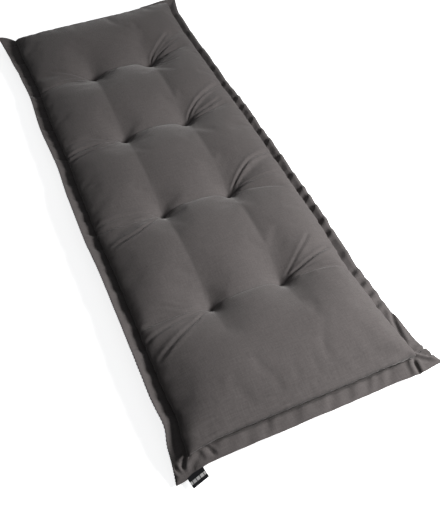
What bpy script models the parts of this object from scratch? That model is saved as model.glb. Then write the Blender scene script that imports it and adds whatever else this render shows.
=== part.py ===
"""Bench cushion for a two-seat garden bench, lying on its back.

Two cloth panels are sewn face to face, turned, filled, and stitched again 30 mm inside the edge, which
leaves a flat flange all round. Eight tufts, in two rows of four, pull both panels towards the middle of the
filling. A folded woven tab is caught in the flange's edge at one corner.

Metres, +Z up. X runs along the bench, from the far end at -X to the near end at +X, which has the tab. Y runs
across it, from the left side at -Y to the right side at +Y. The origin is on the surface that it lies on, under
the middle of its outline.
"""

import math

import bmesh
import bpy
from mathutils import Vector

# ---- The cover, seen from above ----------------------------------------------------------------------
HALF_LENGTH = 0.597  # middle of the cushion to each end's edge
HALF_WIDTH = 0.2225  # middle of the cushion to each side's edge
FLANGE_WIDTH = 0.030
FLANGE_THICKNESS = 0.003  # two cloths with their turned-in allowances between them

# ---- The filling, seen from the side -----------------------------------------------------------------
SEAM_HEIGHT = 0.029  # the stitched line round the filling
CROWN_HEIGHT = 0.074
SHOULDER_REACH = 0.066  # from a side's stitched line to where the top has reached its full height
END_SHOULDER_REACH = 0.085  # the same at the ends
SHOULDER_POWER = 2.3  # 2 is a quarter ellipse, and more is squarer
SIDE_BULGE = 0.005  # the filling swells out this much past the stitched line
BULGE_REACH = 0.024  # and that far inside it the swelling ends
UNDER_FLATTENING = 1.2  # the lower shoulder meets the surface this much sooner
UNDER_PRESS = 1.6  # the same for the hollows under the tufts

# ---- The tufts ---------------------------------------------------------------------------------------
TUFT_PITCH_X = 0.2315
TUFT_PITCH_Y = 0.138
TUFT_X = [TUFT_PITCH_X * (i - 1.5) for i in range(4)]
TUFT_Y = [TUFT_PITCH_Y * (j - 0.5) for j in range(2)]
TUFT_DEPTH = 0.97  # share of the crown that a tuft takes away
TUFT_REACH = 0.027  # how far out the pit has lost two thirds of its depth
# The cloth is also drawn down in troughs between the tufts, and from them to the edge.
# Each: share of the crown that it takes away, half its width
TROUGHS = {
    "across": (0.30, 0.020),  # between the two tufts of a pair
    "along": (0.15, 0.030),  # between neighbouring pairs
    "to_side": (0.17, 0.022),  # from each tuft to the side seam
    "to_end": (0.10, 0.030),  # a short tail from each outer tuft towards the end
}
TAIL_LENGTH = 0.055
TROUGH_POWER = 1.25  # 1 is a sharp crease and 2 a round one
# The troughs to the sides lean away from the straight line, as the cloth was pulled.
# Each row: number of the tuft along X, side of the cushion, how far along X it leans on its way to the seam
SIDE_TROUGHS = [
    (0, 1, -0.085),
    (1, 1, -0.075),
    (2, 1, -0.045),
    (3, 1, -0.020),
    (0, -1, -0.035),
    (1, -1, -0.012),
    (2, -1, -0.014),
    (3, -1, 0.008),
]

# ---- The flange --------------------------------------------------------------------------------------
FLANGE_DROOP = 0.003  # its edge hangs this much below the stitched line
# The sides are drawn in and let out along their length.
# Each row: X, and how far outside its straight line the left edge lies, and the right edge
SIDE_LINE = [
    (-0.500, 0.0055, 0.0010),
    (-0.440, 0.0005, -0.0005),
    (-0.360, -0.0030, 0.0010),
    (-0.230, 0.0020, 0.0010),
    (-0.100, -0.0015, 0.0050),
    (0.000, 0.0020, 0.0045),
    (0.100, 0.0025, 0.0025),
    (0.220, -0.0010, 0.0020),
    (0.300, -0.0015, 0.0005),
    (0.360, -0.0015, -0.0040),
    (0.460, -0.0015, -0.0010),
    (0.515, -0.0045, 0.0030),
    (0.550, 0.0015, 0.0040),
    (0.597, 0.0015, 0.0040),
]
# The far end hangs between its corners, and the near end lies out straight.
# Each row: Y, then for the far end how far its edge lies outside and above, then for the near end
END_LINE = [
    (-0.2225, 0.009, 0.010, 0.001, -0.018),
    (-0.1700, -0.007, -0.007, -0.005, -0.004),
    (-0.0800, -0.007, -0.013, -0.004, 0.000),
    (0.0600, -0.004, -0.009, -0.004, 0.000),
    (0.1400, 0.003, 0.009, -0.005, -0.001),
    (0.1900, 0.002, 0.014, -0.003, 0.000),
    (0.2225, 0.000, 0.010, -0.007, 0.003),
]
# The corners stick out past the drawn-in sides.
# Each row: end (X), side (Y), stretch along Y, how far from the corner the stretch begins
CORNERS = [
    (-1, -1, 0.011, 0.110),
    (-1, 1, 0.013, 0.090),
    (1, -1, 0.008, 0.085),
    (1, 1, 0.017, 0.075),
]
CORNER_LIFT_REACH = 0.075  # a corner's rise or fall goes on this far along the side
END_SPREAD = 8  # a move of an end along X fades towards the middle with this power of X
# The edge also rises and falls in small waves.
# Each row: height, length of a wave, phase
WAVES = [(0.0011, 0.171, 0.4), (0.0007, 0.083, 2.1), (0.0004, 0.047, 0.9)]

# ---- The tab -----------------------------------------------------------------------------------------
TAB_START_Y = -0.2095
TAB_WIDTH = 0.029
TAB_LENGTH = 0.015
TAB_THICKNESS = 0.0014
TAB_GAP = 0.0005  # clear of the flange's edge
TAB_SLOPE = -0.10  # it hangs on at about the flange's own fall

# ---- The lines of the mesh ---------------------------------------------------------------------------
# Distances from the stitched line, inwards, and from a tuft, either way
SHOULDER_STEPS = [0.0, 0.0025, 0.007, 0.014, 0.025, 0.042]
FLANGE_STEPS = [0.0015, 0.015, FLANGE_WIDTH]
TUFT_STEPS_X = [0.0, 0.006, 0.013, 0.023, 0.037, 0.056, 0.082]
TUFT_STEPS_Y = [0.0, 0.006, 0.013, 0.023, 0.036]
END_STEPS = [0.115, 0.145]  # past the outer tufts, towards the end
LEVEL_ANGLE = math.radians(0.05)  # neighbouring faces of the flat underside that are this level become one
LEVEL_HEIGHT = 1e-6  # what lies lower than this is on the surface


def mirrored_lines(half_size, inner):
    """All the mesh's lines in one direction: the flange's and the shoulder's at both edges, and the inner."""
    seam = half_size - FLANGE_WIDTH
    outer = [seam + step for step in FLANGE_STEPS] + [seam - step for step in SHOULDER_STEPS]
    return sorted([-line for line in outer] + inner + outer)


def lines_along():
    """Where the mesh's lines cross X."""
    near_tufts = {round(x + side * step, 6) for x in TUFT_X for step in TUFT_STEPS_X for side in (-1, 1)}
    between = {round(x + TUFT_PITCH_X / 2, 6) for x in TUFT_X[:-1]}
    to_ends = {round(side * (TUFT_X[-1] + step), 6) for step in END_STEPS for side in (-1, 1)}
    return mirrored_lines(HALF_LENGTH, sorted(near_tufts | between | to_ends))


def lines_across():
    """Where the mesh's lines cross Y."""
    near_tufts = {round(y + side * step, 6) for y in TUFT_Y for step in TUFT_STEPS_Y for side in (-1, 1)}
    return mirrored_lines(HALF_WIDTH, sorted(near_tufts | {0.0}))


def distance_to_line(x, y, start, end):
    """How far a point is from the stretch between start and end."""
    run_x, run_y = end[0] - start[0], end[1] - start[1]
    share = ((x - start[0]) * run_x + (y - start[1]) * run_y) / (run_x**2 + run_y**2)
    share = min(1.0, max(0.0, share))
    return math.hypot(x - start[0] - share * run_x, y - start[1] - share * run_y)


def troughs():
    """Every drawn-down line, as its name, start and end."""
    seam_y = HALF_WIDTH - FLANGE_WIDTH
    found = [("across", (x, TUFT_Y[0]), (x, TUFT_Y[1])) for x in TUFT_X]
    found += [("along", (TUFT_X[0], y), (TUFT_X[-1], y)) for y in TUFT_Y]
    found += [
        ("to_side", (TUFT_X[i], side * TUFT_Y[1]), (TUFT_X[i] + lean, side * seam_y))
        for i, side, lean in SIDE_TROUGHS
    ]
    found += [
        ("to_end", (end * TUFT_X[-1], y), (end * (TUFT_X[-1] + TAIL_LENGTH), y))
        for end in (-1, 1)
        for y in TUFT_Y
    ]
    return found


ALL_TROUGHS = troughs()


def fullness(x, y):
    """How far the cloth stands off the middle of the filling: 0 at a tuft, and 1 on a crown."""
    share = 1.0
    for tuft_x in TUFT_X:
        for tuft_y in TUFT_Y:
            share *= 1 - TUFT_DEPTH * math.exp(-math.hypot(x - tuft_x, y - tuft_y) / TUFT_REACH)
    for name, start, end in ALL_TROUGHS:
        depth, reach = TROUGHS[name]
        away = distance_to_line(x, y, start, end)
        share *= 1 - depth * math.exp(-((away / reach) ** TROUGH_POWER))
    return share


def shoulder(inside, reach):
    """The edge's rounding: 0 on the stitched line, and 1 where the full height is reached."""
    left = 1 - min(1.0, max(0.0, inside) / reach)
    return (1 - left**SHOULDER_POWER) ** (1 / SHOULDER_POWER)


def bulge(inside):
    """How far the side swells out, a little inside the stitched line."""
    share = math.sqrt(min(1.0, max(0.0, inside) / BULGE_REACH))
    return SIDE_BULGE * 4 * share * (1 - share)


def wave(place):
    """The height of the edge's small waves at a place along it."""
    return sum(height * math.sin(math.tau * place / length + phase) for height, length, phase in WAVES)


def read_line(table, place, column):
    """A column of a table at a place between two of its rows."""
    if place <= table[0][0]:
        return table[0][column]
    for row, following in zip(table, table[1:]):
        if place <= following[0]:
            share = (place - row[0]) / (following[0] - row[0])
            share = share * share * (3 - 2 * share)
            return row[column] + share * (following[column] - row[column])
    return table[-1][column]


def corner_stretch(x, y):
    """How far the nearest corner pulls a point along Y."""
    for end, side, stretch, reach in CORNERS:
        if x * end > 0 and y * side > 0:
            away = math.hypot(x - end * HALF_LENGTH, y - side * HALF_WIDTH)
            return side * stretch * max(0.0, 1 - away / reach) ** 2
    return 0.0


def edge_moves(x, y, flange_x, flange_y):
    """How the lie of the edges moves a point: along X, along Y, and up.

    flange_x and flange_y tell how far across the ends' and the sides' flange the point is, from 0 to 1.
    """
    end_column = 1 if x < 0 else 3
    out_x = read_line(END_LINE, y, end_column) * (x / HALF_LENGTH) ** END_SPREAD
    out_y = read_line(SIDE_LINE, x, 1 if y < 0 else 2) * (y / HALF_WIDTH) ** 2
    corner_share = max(0.0, 1 - (HALF_LENGTH - abs(x)) / CORNER_LIFT_REACH) ** 2
    side_up = read_line(END_LINE, math.copysign(HALF_WIDTH, y), end_column + 1) * corner_share + wave(x)
    end_up = read_line(END_LINE, y, end_column + 1) + wave(y)
    across = flange_x + flange_y
    up = (flange_x * end_up + flange_y * side_up) / across - FLANGE_DROOP if across else 0.0
    return math.copysign(1, x) * out_x, math.copysign(1, y) * out_y, up * max(flange_x, flange_y)


def surface_point(x, y, top):
    """Where a point of the laid-out cloth comes to lie on the filled cushion."""
    inside_x = HALF_LENGTH - FLANGE_WIDTH - abs(x)
    inside_y = HALF_WIDTH - FLANGE_WIDTH - abs(y)
    rise_x, rise_y = shoulder(inside_x, END_SHOULDER_REACH), shoulder(inside_y, SHOULDER_REACH)
    flange_x = min(1.0, max(0.0, -inside_x) / FLANGE_WIDTH)
    flange_y = min(1.0, max(0.0, -inside_y) / FLANGE_WIDTH)
    move_x, move_y, move_up = edge_moves(x, y, flange_x, flange_y)
    full = fullness(x, y)
    seam = SEAM_HEIGHT + move_up
    if top:
        height = seam + FLANGE_THICKNESS / 2 + (CROWN_HEIGHT - seam) * rise_x * rise_y * full
    else:
        pressed = min(1.0, rise_x * rise_y * UNDER_FLATTENING) * min(1.0, full * UNDER_PRESS)
        height = (seam - FLANGE_THICKNESS / 2) * (1 - pressed)
    point_x = x + math.copysign(bulge(inside_x) * rise_y, x) + move_x
    point_y = y + math.copysign(bulge(inside_y) * rise_x, y) + move_y + corner_stretch(x, y)
    return Vector((point_x, point_y, max(FLANGE_THICKNESS if top else 0.0, height)))


def cloth_material(name, colour, roughness):
    """A plain matt cloth."""
    material = bpy.data.materials.new(name)
    material.use_nodes = True
    principled = material.node_tree.nodes["Principled BSDF"]
    principled.inputs["Base Color"].default_value = (*colour, 1)
    principled.inputs["Roughness"].default_value = roughness
    principled.inputs["Metallic"].default_value = 0.0
    return material


def thicken(mesh_edit, thickness):
    """Extrudes a flat sheet of faces upwards into a closed slab."""
    parts = bmesh.ops.extrude_face_region(mesh_edit, geom=mesh_edit.faces[:])["geom"]
    raised = [part for part in parts if isinstance(part, bmesh.types.BMVert)]
    bmesh.ops.translate(mesh_edit, verts=raised, vec=(0, 0, thickness))
    bmesh.ops.recalc_face_normals(mesh_edit, faces=mesh_edit.faces[:])


def add_object(name, mesh_edit, material):
    """Triangulates a mesh, makes it an object and gives it its material."""
    bmesh.ops.triangulate(mesh_edit, faces=mesh_edit.faces[:])
    mesh = bpy.data.meshes.new(name)
    mesh_edit.to_mesh(mesh)
    mesh_edit.free()
    mesh.materials.append(material)
    mesh.shade_smooth()
    bpy.context.scene.collection.objects.link(bpy.data.objects.new(name, mesh))


def make_cushion():
    """A grid is thickened into a slab, and each of its points moves to its place on the filled cushion."""
    along, across = lines_along(), lines_across()
    columns, rows = len(along) - 1, len(across) - 1
    cushion = bmesh.new()
    bmesh.ops.create_grid(cushion, x_segments=columns, y_segments=rows, size=1)
    thicken(cushion, 1)
    for vert in cushion.verts:
        column = round((vert.co.x + 1) / 2 * columns)
        row = round((vert.co.y + 1) / 2 * rows)
        vert.co = surface_point(along[column], across[row], top=vert.co.z > 0.5)
    on_surface = {face for face in cushion.faces if all(vert.co.z < LEVEL_HEIGHT for vert in face.verts)}
    inner_edges = [edge for edge in cushion.edges if on_surface.issuperset(edge.link_faces)]
    bmesh.ops.dissolve_limit(cushion, angle_limit=LEVEL_ANGLE, verts=[], edges=inner_edges)
    add_object("cushion", cushion, cloth_material("anthracite_canvas", (0.10, 0.096, 0.092), 0.9))


def near_edge(y):
    """The middle of the near end's edge at Y, which runs straight between the mesh's lines."""
    lines = lines_across()
    above = next(i for i, line in enumerate(lines) if line >= y)
    low, high = lines[above - 1], lines[above]
    start, end = [
        (surface_point(HALF_LENGTH, line, top=True) + surface_point(HALF_LENGTH, line, top=False)) / 2
        for line in (low, high)
    ]
    return start.lerp(end, (y - low) / (high - low))


def make_tab():
    """The folded strip as one flat closed piece that follows the near end's edge, the fold on its far side."""
    end_y = TAB_START_Y + TAB_WIDTH
    stations = [TAB_START_Y, *[line for line in lines_across() if TAB_START_Y < line < end_y], end_y]
    out = Vector((TAB_LENGTH, 0, TAB_SLOPE * TAB_LENGTH))
    tab = bmesh.new()
    pairs = []
    for y in stations:
        held = near_edge(y) + Vector((TAB_GAP, 0, -TAB_THICKNESS / 2))
        pairs.append((tab.verts.new(held), tab.verts.new(held + out)))
    for (held, free), (next_held, next_free) in zip(pairs, pairs[1:]):
        tab.faces.new((held, free, next_free, next_held))
    thicken(tab, TAB_THICKNESS)
    add_object("tab", tab, cloth_material("black_woven_tape", (0.012, 0.012, 0.014), 0.7))


for leftover in list(bpy.data.objects):
    bpy.data.objects.remove(leftover)
make_cushion()
make_tab()
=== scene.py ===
"""Bench cushion for a two-seat garden bench: the looks of its cover, its seams, its tufts and its tab.

Metres, +Z up. X runs along the bench, from the far end at -X to the near end at +X, which has the tab. Y runs
across it, from the left side at -Y to the right side at +Y. The cushion lies on its back at Z = 0.
"""

import math

import bmesh
import bpy
import numpy as np
from mathutils import Matrix, Vector, kdtree


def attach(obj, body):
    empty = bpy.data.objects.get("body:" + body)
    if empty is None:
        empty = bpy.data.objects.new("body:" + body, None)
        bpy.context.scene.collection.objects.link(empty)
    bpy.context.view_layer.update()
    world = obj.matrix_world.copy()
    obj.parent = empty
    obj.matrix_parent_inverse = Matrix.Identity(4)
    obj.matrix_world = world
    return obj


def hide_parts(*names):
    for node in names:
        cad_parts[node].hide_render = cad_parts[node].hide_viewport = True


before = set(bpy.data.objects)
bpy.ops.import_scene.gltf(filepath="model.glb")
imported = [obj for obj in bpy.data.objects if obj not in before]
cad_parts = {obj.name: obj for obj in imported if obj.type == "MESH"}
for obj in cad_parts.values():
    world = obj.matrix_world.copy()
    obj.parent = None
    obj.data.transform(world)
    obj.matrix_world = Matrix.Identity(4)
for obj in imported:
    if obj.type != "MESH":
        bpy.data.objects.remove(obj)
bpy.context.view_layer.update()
scene = bpy.context.scene

# ---- The camera ------------------------------------------------------------------------------------------
# The camera stands past the near left corner and looks steeply down along the cushion. The picture is
# upright, 440 by 515.
CAMERA_AZIMUTH, CAMERA_ELEVATION, CAMERA_ROLL = map(math.radians, (65.7, 52.0, 0.8))
CAMERA_DISTANCE = 1.23361
CAMERA_TARGET = Vector((0.22461, 0.00236, 0.0))
CAMERA_LENS, CAMERA_SENSOR = 45.087, 36  # millimetres; the sensor's are the picture's longer side
CAMERA_NEAREST = 0.05  # nothing nearer to the camera shows

back = Vector((
    math.sin(CAMERA_AZIMUTH) * math.cos(CAMERA_ELEVATION),
    -math.cos(CAMERA_AZIMUTH) * math.cos(CAMERA_ELEVATION),
    math.sin(CAMERA_ELEVATION),
))
level_right = (-back).cross(Vector((0, 0, 1))).normalized()
level_up = level_right.cross(-back)
camera_right = level_right * math.cos(CAMERA_ROLL) + level_up * math.sin(CAMERA_ROLL)
camera_up = camera_right.cross(-back)
camera_data = bpy.data.cameras.new("camera")
camera_data.lens = CAMERA_LENS
camera_data.sensor_width = CAMERA_SENSOR
camera_data.clip_start = CAMERA_NEAREST
camera = bpy.data.objects.new("camera", camera_data)
camera.matrix_world = Matrix.Translation(CAMERA_TARGET + back * CAMERA_DISTANCE) @ Matrix(
    (camera_right, camera_up, back)
).transposed().to_4x4()
scene.collection.objects.link(camera)
scene.camera = camera

# ---- The floor, the wall and the light -------------------------------------------------------------------
# A seamless white studio floor, with a white wall far round it. One soft box stands past the near right
# corner and falls off towards the far left, and the room gives a little light, most of it from the ceiling.
FLOOR_SIZE = 16.0
FLOOR_GLOW = 0.80
FLOOR_PATCH = 1 / 3  # the size of the patches that are a little lighter or darker
WALL_RADIUS, WALL_HEIGHT, WALL_SIDES = 7.0, 9.0, 96
WALL_SUNK = 0.01  # the wall starts this far under the floor
LIGHT_PLACE = Vector((0.80, 0.99, 0.93))
LIGHT_AIM = Vector((0.15, 0.0, 0.03))
LIGHT_SIZE = (0.50, 0.40)
LIGHT_POWER = 36.5
ROOM_LIGHT, HORIZON_LIGHT = 0.45, 0.05  # straight up, and at the horizon
CEILING_START = 0.70  # the height on a dome one metre high at which the ceiling's light begins


def linear(hex_colour):
    """An sRGB hex colour as the linear RGBA that a shader takes."""
    values = [int(hex_colour[i:i + 2], 16) / 255 for i in (1, 3, 5)]
    return (*(v / 12.92 if v <= 0.04045 else ((v + 0.055) / 1.055) ** 2.4 for v in values), 1.0)


def new_material(name):
    """An empty material with a Principled BSDF on its output. Gives the material and the shader."""
    made = bpy.data.materials.new(name)
    made.use_nodes = True
    return made, made.node_tree.nodes["Principled BSDF"]


def add_node(material, kind, links=None, values=None, **settings):
    """Adds a node with its settings, the values of its sockets, and the links that come into it."""
    made = material.node_tree.nodes.new(kind)
    for name, value in settings.items():
        setattr(made, name, value)
    for socket, value in (values or {}).items():
        made.inputs[socket].default_value = value
    for socket, source in (links or {}).items():
        material.node_tree.links.new(source, made.inputs[socket])
    return made


# Matt white vinyl, rolled out and lit up to pure white: no gloss, and a faint unevenness.
floor_material, floor_shader = new_material("matt_white_vinyl")
floor_shader.inputs["Roughness"].default_value = 0.9
floor_shader.inputs["Specular IOR Level"].default_value = 0.2
floor_shader.inputs["Emission Color"].default_value = linear("#ffffff")
floor_shader.inputs["Emission Strength"].default_value = FLOOR_GLOW
floor_place = add_node(floor_material, "ShaderNodeTexCoord")
floor_noise = add_node(
    floor_material, "ShaderNodeTexNoise", {"Vector": floor_place.outputs["Object"]},
    {"Scale": 1 / FLOOR_PATCH},
)
floor_colour = add_node(
    floor_material, "ShaderNodeMix", {"Factor": floor_noise.outputs["Fac"]},
    {"A": linear("#f4f4f4"), "B": linear("#fafafa")}, data_type="RGBA",
)
floor_material.node_tree.links.new(floor_colour.outputs["Result"], floor_shader.inputs["Base Color"])

bpy.ops.object.select_all(action="DESELECT")
bpy.ops.mesh.primitive_plane_add(size=FLOOR_SIZE, location=(0, 0, 0))
floor = bpy.context.object
floor.name = "studio_floor"
floor.data.materials.append(floor_material)
floor.visible_diffuse = floor.visible_glossy = False  # its bounce would lift the cushion's dark side

bpy.ops.object.select_all(action="DESELECT")
bpy.ops.mesh.primitive_cylinder_add(
    vertices=WALL_SIDES, radius=WALL_RADIUS, depth=WALL_HEIGHT, location=(0, 0, WALL_HEIGHT / 2 - WALL_SUNK),
    end_fill_type="NOTHING",
)
wall_round = bpy.context.object
wall_round.name = "studio_wall"
wall_round.data.materials.append(floor_material)
wall_round.visible_diffuse = wall_round.visible_glossy = wall_round.visible_shadow = False

light_data = bpy.data.lights.new("soft_box", "AREA")
light_data.shape = "RECTANGLE"
light_data.size, light_data.size_y = LIGHT_SIZE
light_data.energy = LIGHT_POWER
light = bpy.data.objects.new("soft_box", light_data)
light.location = LIGHT_PLACE
light.rotation_euler = (LIGHT_AIM - LIGHT_PLACE).to_track_quat("-Z", "Y").to_euler()
scene.collection.objects.link(light)

room = bpy.data.worlds.new("room")
room.use_nodes = True
room_direction = add_node(room, "ShaderNodeTexCoord").outputs["Generated"]
room_height = add_node(room, "ShaderNodeSeparateXYZ", {"Vector": room_direction}).outputs["Z"]
room_strength = add_node(
    room, "ShaderNodeMapRange", {"Value": room_height},
    {"From Min": CEILING_START, "To Min": HORIZON_LIGHT, "To Max": ROOM_LIGHT},
)
room_background = room.node_tree.nodes["Background"]
room_background.inputs["Color"].default_value = linear("#f9fcff")
room.node_tree.links.new(room_strength.outputs["Result"], room_background.inputs["Strength"])
scene.world = room
scene.view_settings.view_transform = "Standard"

# ---- The cushion -----------------------------------------------------------------------------------------
# Two panels of dark canvas, sewn face to face, turned and filled, then stitched again 30 mm inside the edge,
# which leaves a flat flange. Eight tufts pull the panels together. Edges and tufts lie where the CAD's do.
HALF_LENGTH = 0.597  # middle of the cushion to each end's edge
HALF_WIDTH = 0.2225  # middle of the cushion to each side's edge
FLANGE_WIDTH = 0.030
SEAM_X, SEAM_Y = HALF_LENGTH - FLANGE_WIDTH, HALF_WIDTH - FLANGE_WIDTH  # the stitched line
SEAM_HEIGHT = 0.029
CROWN_HEIGHT = 0.074
# Each way out from the middle: from the stitched line to where the top has reached its full height, and how
# square the shoulder is (2 is a quarter ellipse)
SHOULDERS = {"far": (0.080, 2.6), "near": (0.085, 2.10), "left": (0.128, 1.80), "right": (0.062, 2.8)}
# How far the filling swells out over the flange. Each row: a place along that side, and the swelling there
SWELLINGS = {
    "far": [(-0.1925, 0.010), (-0.150, 0.004), (0.150, 0.003), (0.1925, 0.006)],
    "near": [(-0.1925, 0.0200), (-0.130, 0.0145), (0.150, 0.0145), (0.1925, 0.008)],
    "left": [(-0.567, 0.008), (-0.500, 0.0160), (0.500, 0.0190), (0.567, 0.0200)],
    "right": [(-0.567, 0.006), (-0.500, 0.001), (0.500, 0.001), (0.567, 0.006)],
}
SWELL_HEIGHT = 0.47  # the share of the shoulder's height at which the filling swells out furthest
SWELL_EASING = 0.2  # the share of the end's rise over which a side's swelling begins, and the other way round
CORNER_FILLING = 5.0  # more is a squarer body corner
LEAST_RISE = 1e-4  # a share of the rise that counts as none
UNDER_FLATTENING, UNDER_PRESS = 1.2, 1.6  # more is a flatter underside, inside its edge and round its tufts

TUFT_PITCH_X, TUFT_PITCH_Y = 0.2315, 0.138
TUFT_X = [TUFT_PITCH_X * (i - 1.5) for i in range(4)]
TUFT_Y = [TUFT_PITCH_Y * (j - 0.5) for j in range(2)]
TUFT_DEPTH = 0.97  # share of the crown that a tuft takes away
# How far from it a tuft draws the cloth down: on its far side, on its near side, and sideways on both
TUFT_FAR_REACH, TUFT_NEAR_REACH, TUFT_FAR_SIDE, TUFT_NEAR_SIDE = 0.025, 0.013, 0.020, 0.014
TUFT_BOTTOM = 0.12  # the share of its reach in which a tuft's pit is rounded
# The cloth is drawn down along each row of tufts, and a little past it towards the ends.
ALONG_DEPTH, ALONG_REACH = 0.19, 0.032
TAIL_DEPTH, TAIL_REACH, TAIL_LENGTH = 0.13, 0.030, 0.060
TROUGH_POWER = 1.25  # 1 is a sharp crease and 2 a round one
# A crease runs through each pair of tufts and on to both sides. Each row: its line past the left tuft, from
# the outside in, and past the right one, in millimetres from that tuft
CREASES = [
    ([(10, -112), (12, -85), (11, -55), (8, -20)], [(3, 28), (-2, 58), (-6, 84)]),
    ([(6, -118), (8, -100), (6, -60), (5, -22)], [(5, 28), (4, 58), (0, 85)]),
    ([(-1, -112), (2, -90), (5, -60), (6, -25)], [(8, 20), (20, 50), (34, 90)]),
    ([(-4, -112), (-1, -80), (1, -50), (1, -24)], [(4, 22), (10, 62), (20, 106)]),
]
# Its depth as a share of the crown, at these distances from the cushion's middle line
CREASE_PLACES = [0.0, 0.045, 0.069, 0.100, 0.150, 0.190]
CREASE_DEPTHS = [0.30, 0.30, 0.29, 0.17, 0.11, 0.05]
CREASE_FAR_REACH, CREASE_NEAR_REACH, CREASE_POWER = 0.027, 0.023, 1.12
# The cells between the creases are domed: the same, for the broad hollow round each crease
HOLLOW_DEPTH, HOLLOW_FAR_REACH, HOLLOW_NEAR_REACH = 0.13, 0.075, 0.070
# A broad trough also leans from each tuft to the seam, on the right towards the far end, as the cloth was
# pulled. Each row: number of the tuft along X, side, share of the crown, how far it leans along X
LEANING_TROUGHS = [
    (0, 1, 0.13, -0.085), (1, 1, 0.13, -0.075), (2, 1, 0.13, -0.055), (3, 1, 0.13, -0.040),
    (0, -1, 0.1, -0.045), (1, -1, 0.05, -0.025), (2, -1, 0.05, 0.040), (3, -1, 0.06, 0.060),
]
LEANING_REACH = 0.019

FLANGE_DROOP = 0.003  # how far the edge hangs below the seam
# How far the right and the left edge curl up above that. Each row: X, and the rise
RIGHT_CURL = [(-0.60, 0.009), (-0.40, 0.011), (0.20, 0.0115), (0.46, 0.004), (0.56, 0.0)]
LEFT_CURL = [(-0.60, 0.001), (-0.40, 0.004), (-0.15, 0.008), (0.05, 0.014), (0.48, 0.014), (0.58, 0.002)]
RIGHT_CURL_START, RIGHT_CURL_SPAN = 0.15, 0.65  # shares of the flange's width: where it rises, over how much
RIGHT_DRAW, LEFT_DRAW = 0.70, -0.14  # the share of its curl by which each edge is drawn in
LEFT_DIP = 0.003  # how far the left flange dips beside the filling
# Each row: X, and how far outside its straight line the left edge lies, and the right edge
SIDE_LINE = [
    (-0.500, 0.0055, 0.0010), (-0.440, 0.0005, -0.0005), (-0.360, -0.0030, 0.0010), (-0.230, 0.0020, 0.0010),
    (-0.100, -0.0015, 0.0050), (0.000, 0.0020, 0.0045), (0.100, 0.0025, 0.0045), (0.220, -0.0010, 0.0030),
    (0.300, -0.0015, 0.0005), (0.360, -0.0015, -0.0040), (0.460, -0.0015, -0.0010), (0.515, -0.0045, 0.0030),
    (0.550, 0.0015, 0.0040), (0.597, 0.0015, 0.0040),
]
# Each row: Y, then for the far end how far its edge lies outside and above, then for the near end
END_LINE = [
    (-0.2225, 0.009, 0.010, 0.001, -0.018), (-0.1700, -0.007, -0.010, -0.0065, -0.004),
    (-0.0800, -0.007, -0.015, -0.006, 0.000), (0.0600, -0.004, -0.009, -0.0052, 0.000),
    (0.1400, 0.003, 0.009, -0.0067, -0.001), (0.1900, 0.002, 0.014, -0.004, 0.000),
    (0.2225, 0.000, 0.010, -0.007, 0.003),
]
# Each row: end (X), side (Y), stretch along Y, how far from the corner the stretch begins
CORNERS = [(-1, -1, 0.011, 0.110), (-1, 1, 0.013, 0.090), (1, -1, 0.008, 0.085), (1, 1, 0.017, 0.075)]
CORNER_LIFT_REACH = 0.075  # how far along the sides a corner's rise or droop is felt
END_SPREAD = 8  # more keeps the shifts of the end's edge closer to it
WAVES = [(0.0011, 0.171, 0.4), (0.0007, 0.083, 2.1), (0.0004, 0.047, 0.9)]  # height, length, phase

# The flange's section, from the stitched line outwards: how far across it, and how thick it is there
FLANGE_SECTION = np.array([
    (0.0, 0.0010), (0.12, 0.0022), (0.60, 0.0022), (0.70, 0.0030), (0.90, 0.0034), (0.96, 0.0030),
    (1.0, 0.0014),
])
EDGE_ROUNDING = 0.0011  # the turned edge stands out this much between the two panels
# The mesh's lines before it is subdivided, as distances from the stitched line, outwards and inwards
FLANGE_STEPS = [0.0035, 0.0105, 0.0185, 0.0265, 0.0300]
SHOULDER_STEPS = [0.0, 0.0003, 0.0014, 0.0042, 0.0095, 0.0175, 0.0275, 0.0395]
END_STEP, MIDDLE_STEP = 0.0140, 0.0088  # between lines past the outer tufts, and inside them
PAST_TUFT = 0.025  # the close lines go on this far past the outer tufts
TINY = 1e-9  # keeps a division from being by nothing


def lines(half_size, tuft):
    """The mesh's lines across one direction, close together where the cloth turns sharply."""
    seam = half_size - FLANGE_WIDTH
    outer = [seam + step for step in FLANGE_STEPS] + [seam - step for step in SHOULDER_STEPS]
    last, turn = seam - SHOULDER_STEPS[-1], tuft + PAST_TUFT
    if turn < last:
        outer += list(np.linspace(last, turn, math.ceil((last - turn) / END_STEP) + 1)[1:])
        last = turn
    outer += list(np.linspace(last, 0, math.ceil(last / MIDDLE_STEP) + 1)[1:-1])
    return np.array(sorted([-line for line in outer] + [0.0] + outer))


def read_line(table, place, column=1):
    """A column of a table at places between its rows, eased from row to row."""
    knots, values = np.array([row[0] for row in table]), np.array([row[column] for row in table])
    place = np.clip(place, knots[0], knots[-1])
    row = np.clip(np.searchsorted(knots, place, side="right") - 1, 0, len(knots) - 2)
    share = (place - knots[row]) / (knots[row + 1] - knots[row])
    return values[row] + ease(share) * (values[row + 1] - values[row])


def ease(share):
    """0 to 1, starting and ending gently."""
    share = np.clip(share, 0, 1)
    return share * share * (3 - 2 * share)


def smooth_path(points, steps=5):
    """A smooth line through points, as a Catmull-Rom curve."""
    points = np.array(points, float)
    ends = np.vstack([2 * points[0] - points[1], points, 2 * points[-1] - points[-2]])
    share = np.linspace(0, 1, steps, endpoint=False)[:, None]
    runs = []
    for a, b, c, d in zip(ends, ends[1:], ends[2:], ends[3:]):
        turn, bend = 2 * a - 5 * b + 4 * c - d, 3 * b - a - 3 * c + d
        runs.append(0.5 * (2 * b + (c - a) * share + turn * share**2 + bend * share**3))
    return np.vstack([*runs, points[-1:]])


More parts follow.
